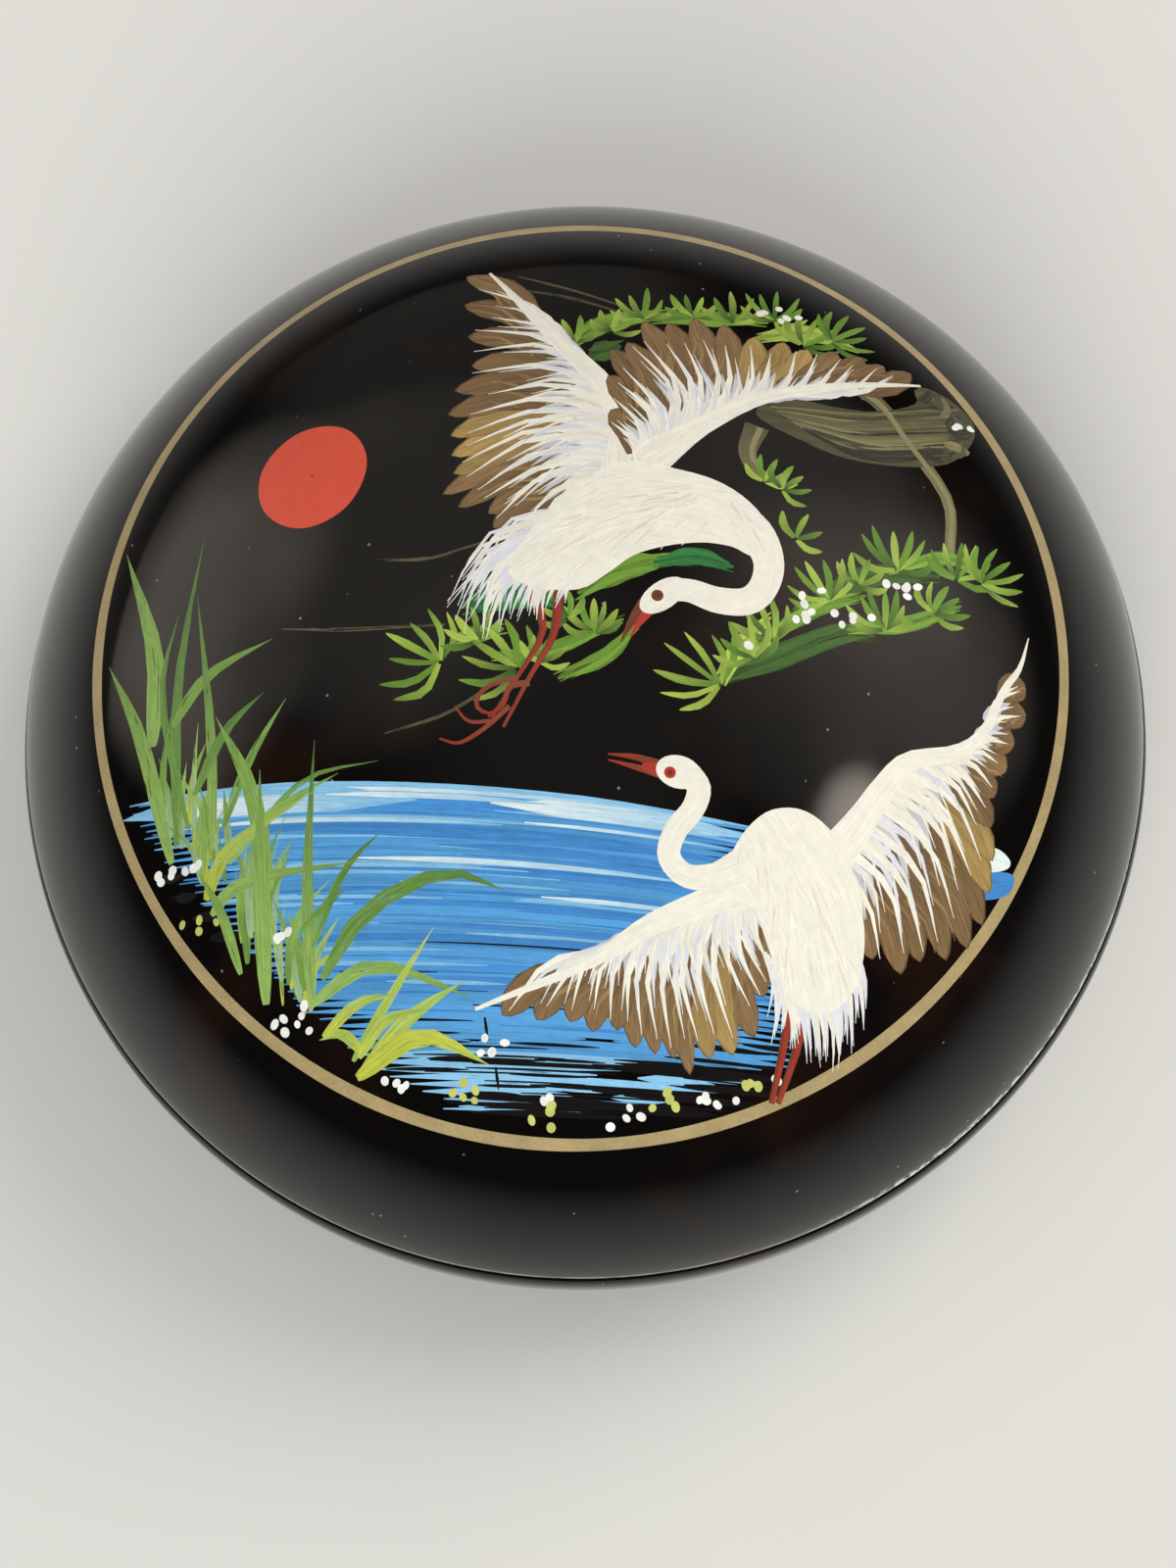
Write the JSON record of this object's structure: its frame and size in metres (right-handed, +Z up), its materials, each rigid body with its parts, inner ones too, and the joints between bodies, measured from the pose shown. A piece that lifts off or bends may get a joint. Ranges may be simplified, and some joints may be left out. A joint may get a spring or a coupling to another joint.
{
  "type": "lacquer trinket box",
  "caption": "Round black lacquer box with a domed lift-off lid, a flanged base on a low foot ring, and a painted bird and pond scene inside a gold line.",
  "frame": {"origin": "on the box's axis, at the height of the surface that its foot ring stands on", "axes": "+Z up along the axis that base and lid are turned about; +X to the right and +Y to the back as the painting is seen upright"},
  "size_m": [0.115, 0.115, 0.0498],
  "materials": {
    "base_lacquer": "turned wood under black gloss lacquer",
    "lid_lacquer": "turned wood under black gloss lacquer, with a flat painted scene and a gold line on top"
  },
  "bodies": {
    "root": {"base": "base_lacquer", "lid": "lid_lacquer"}
  },
  "joints": []
}
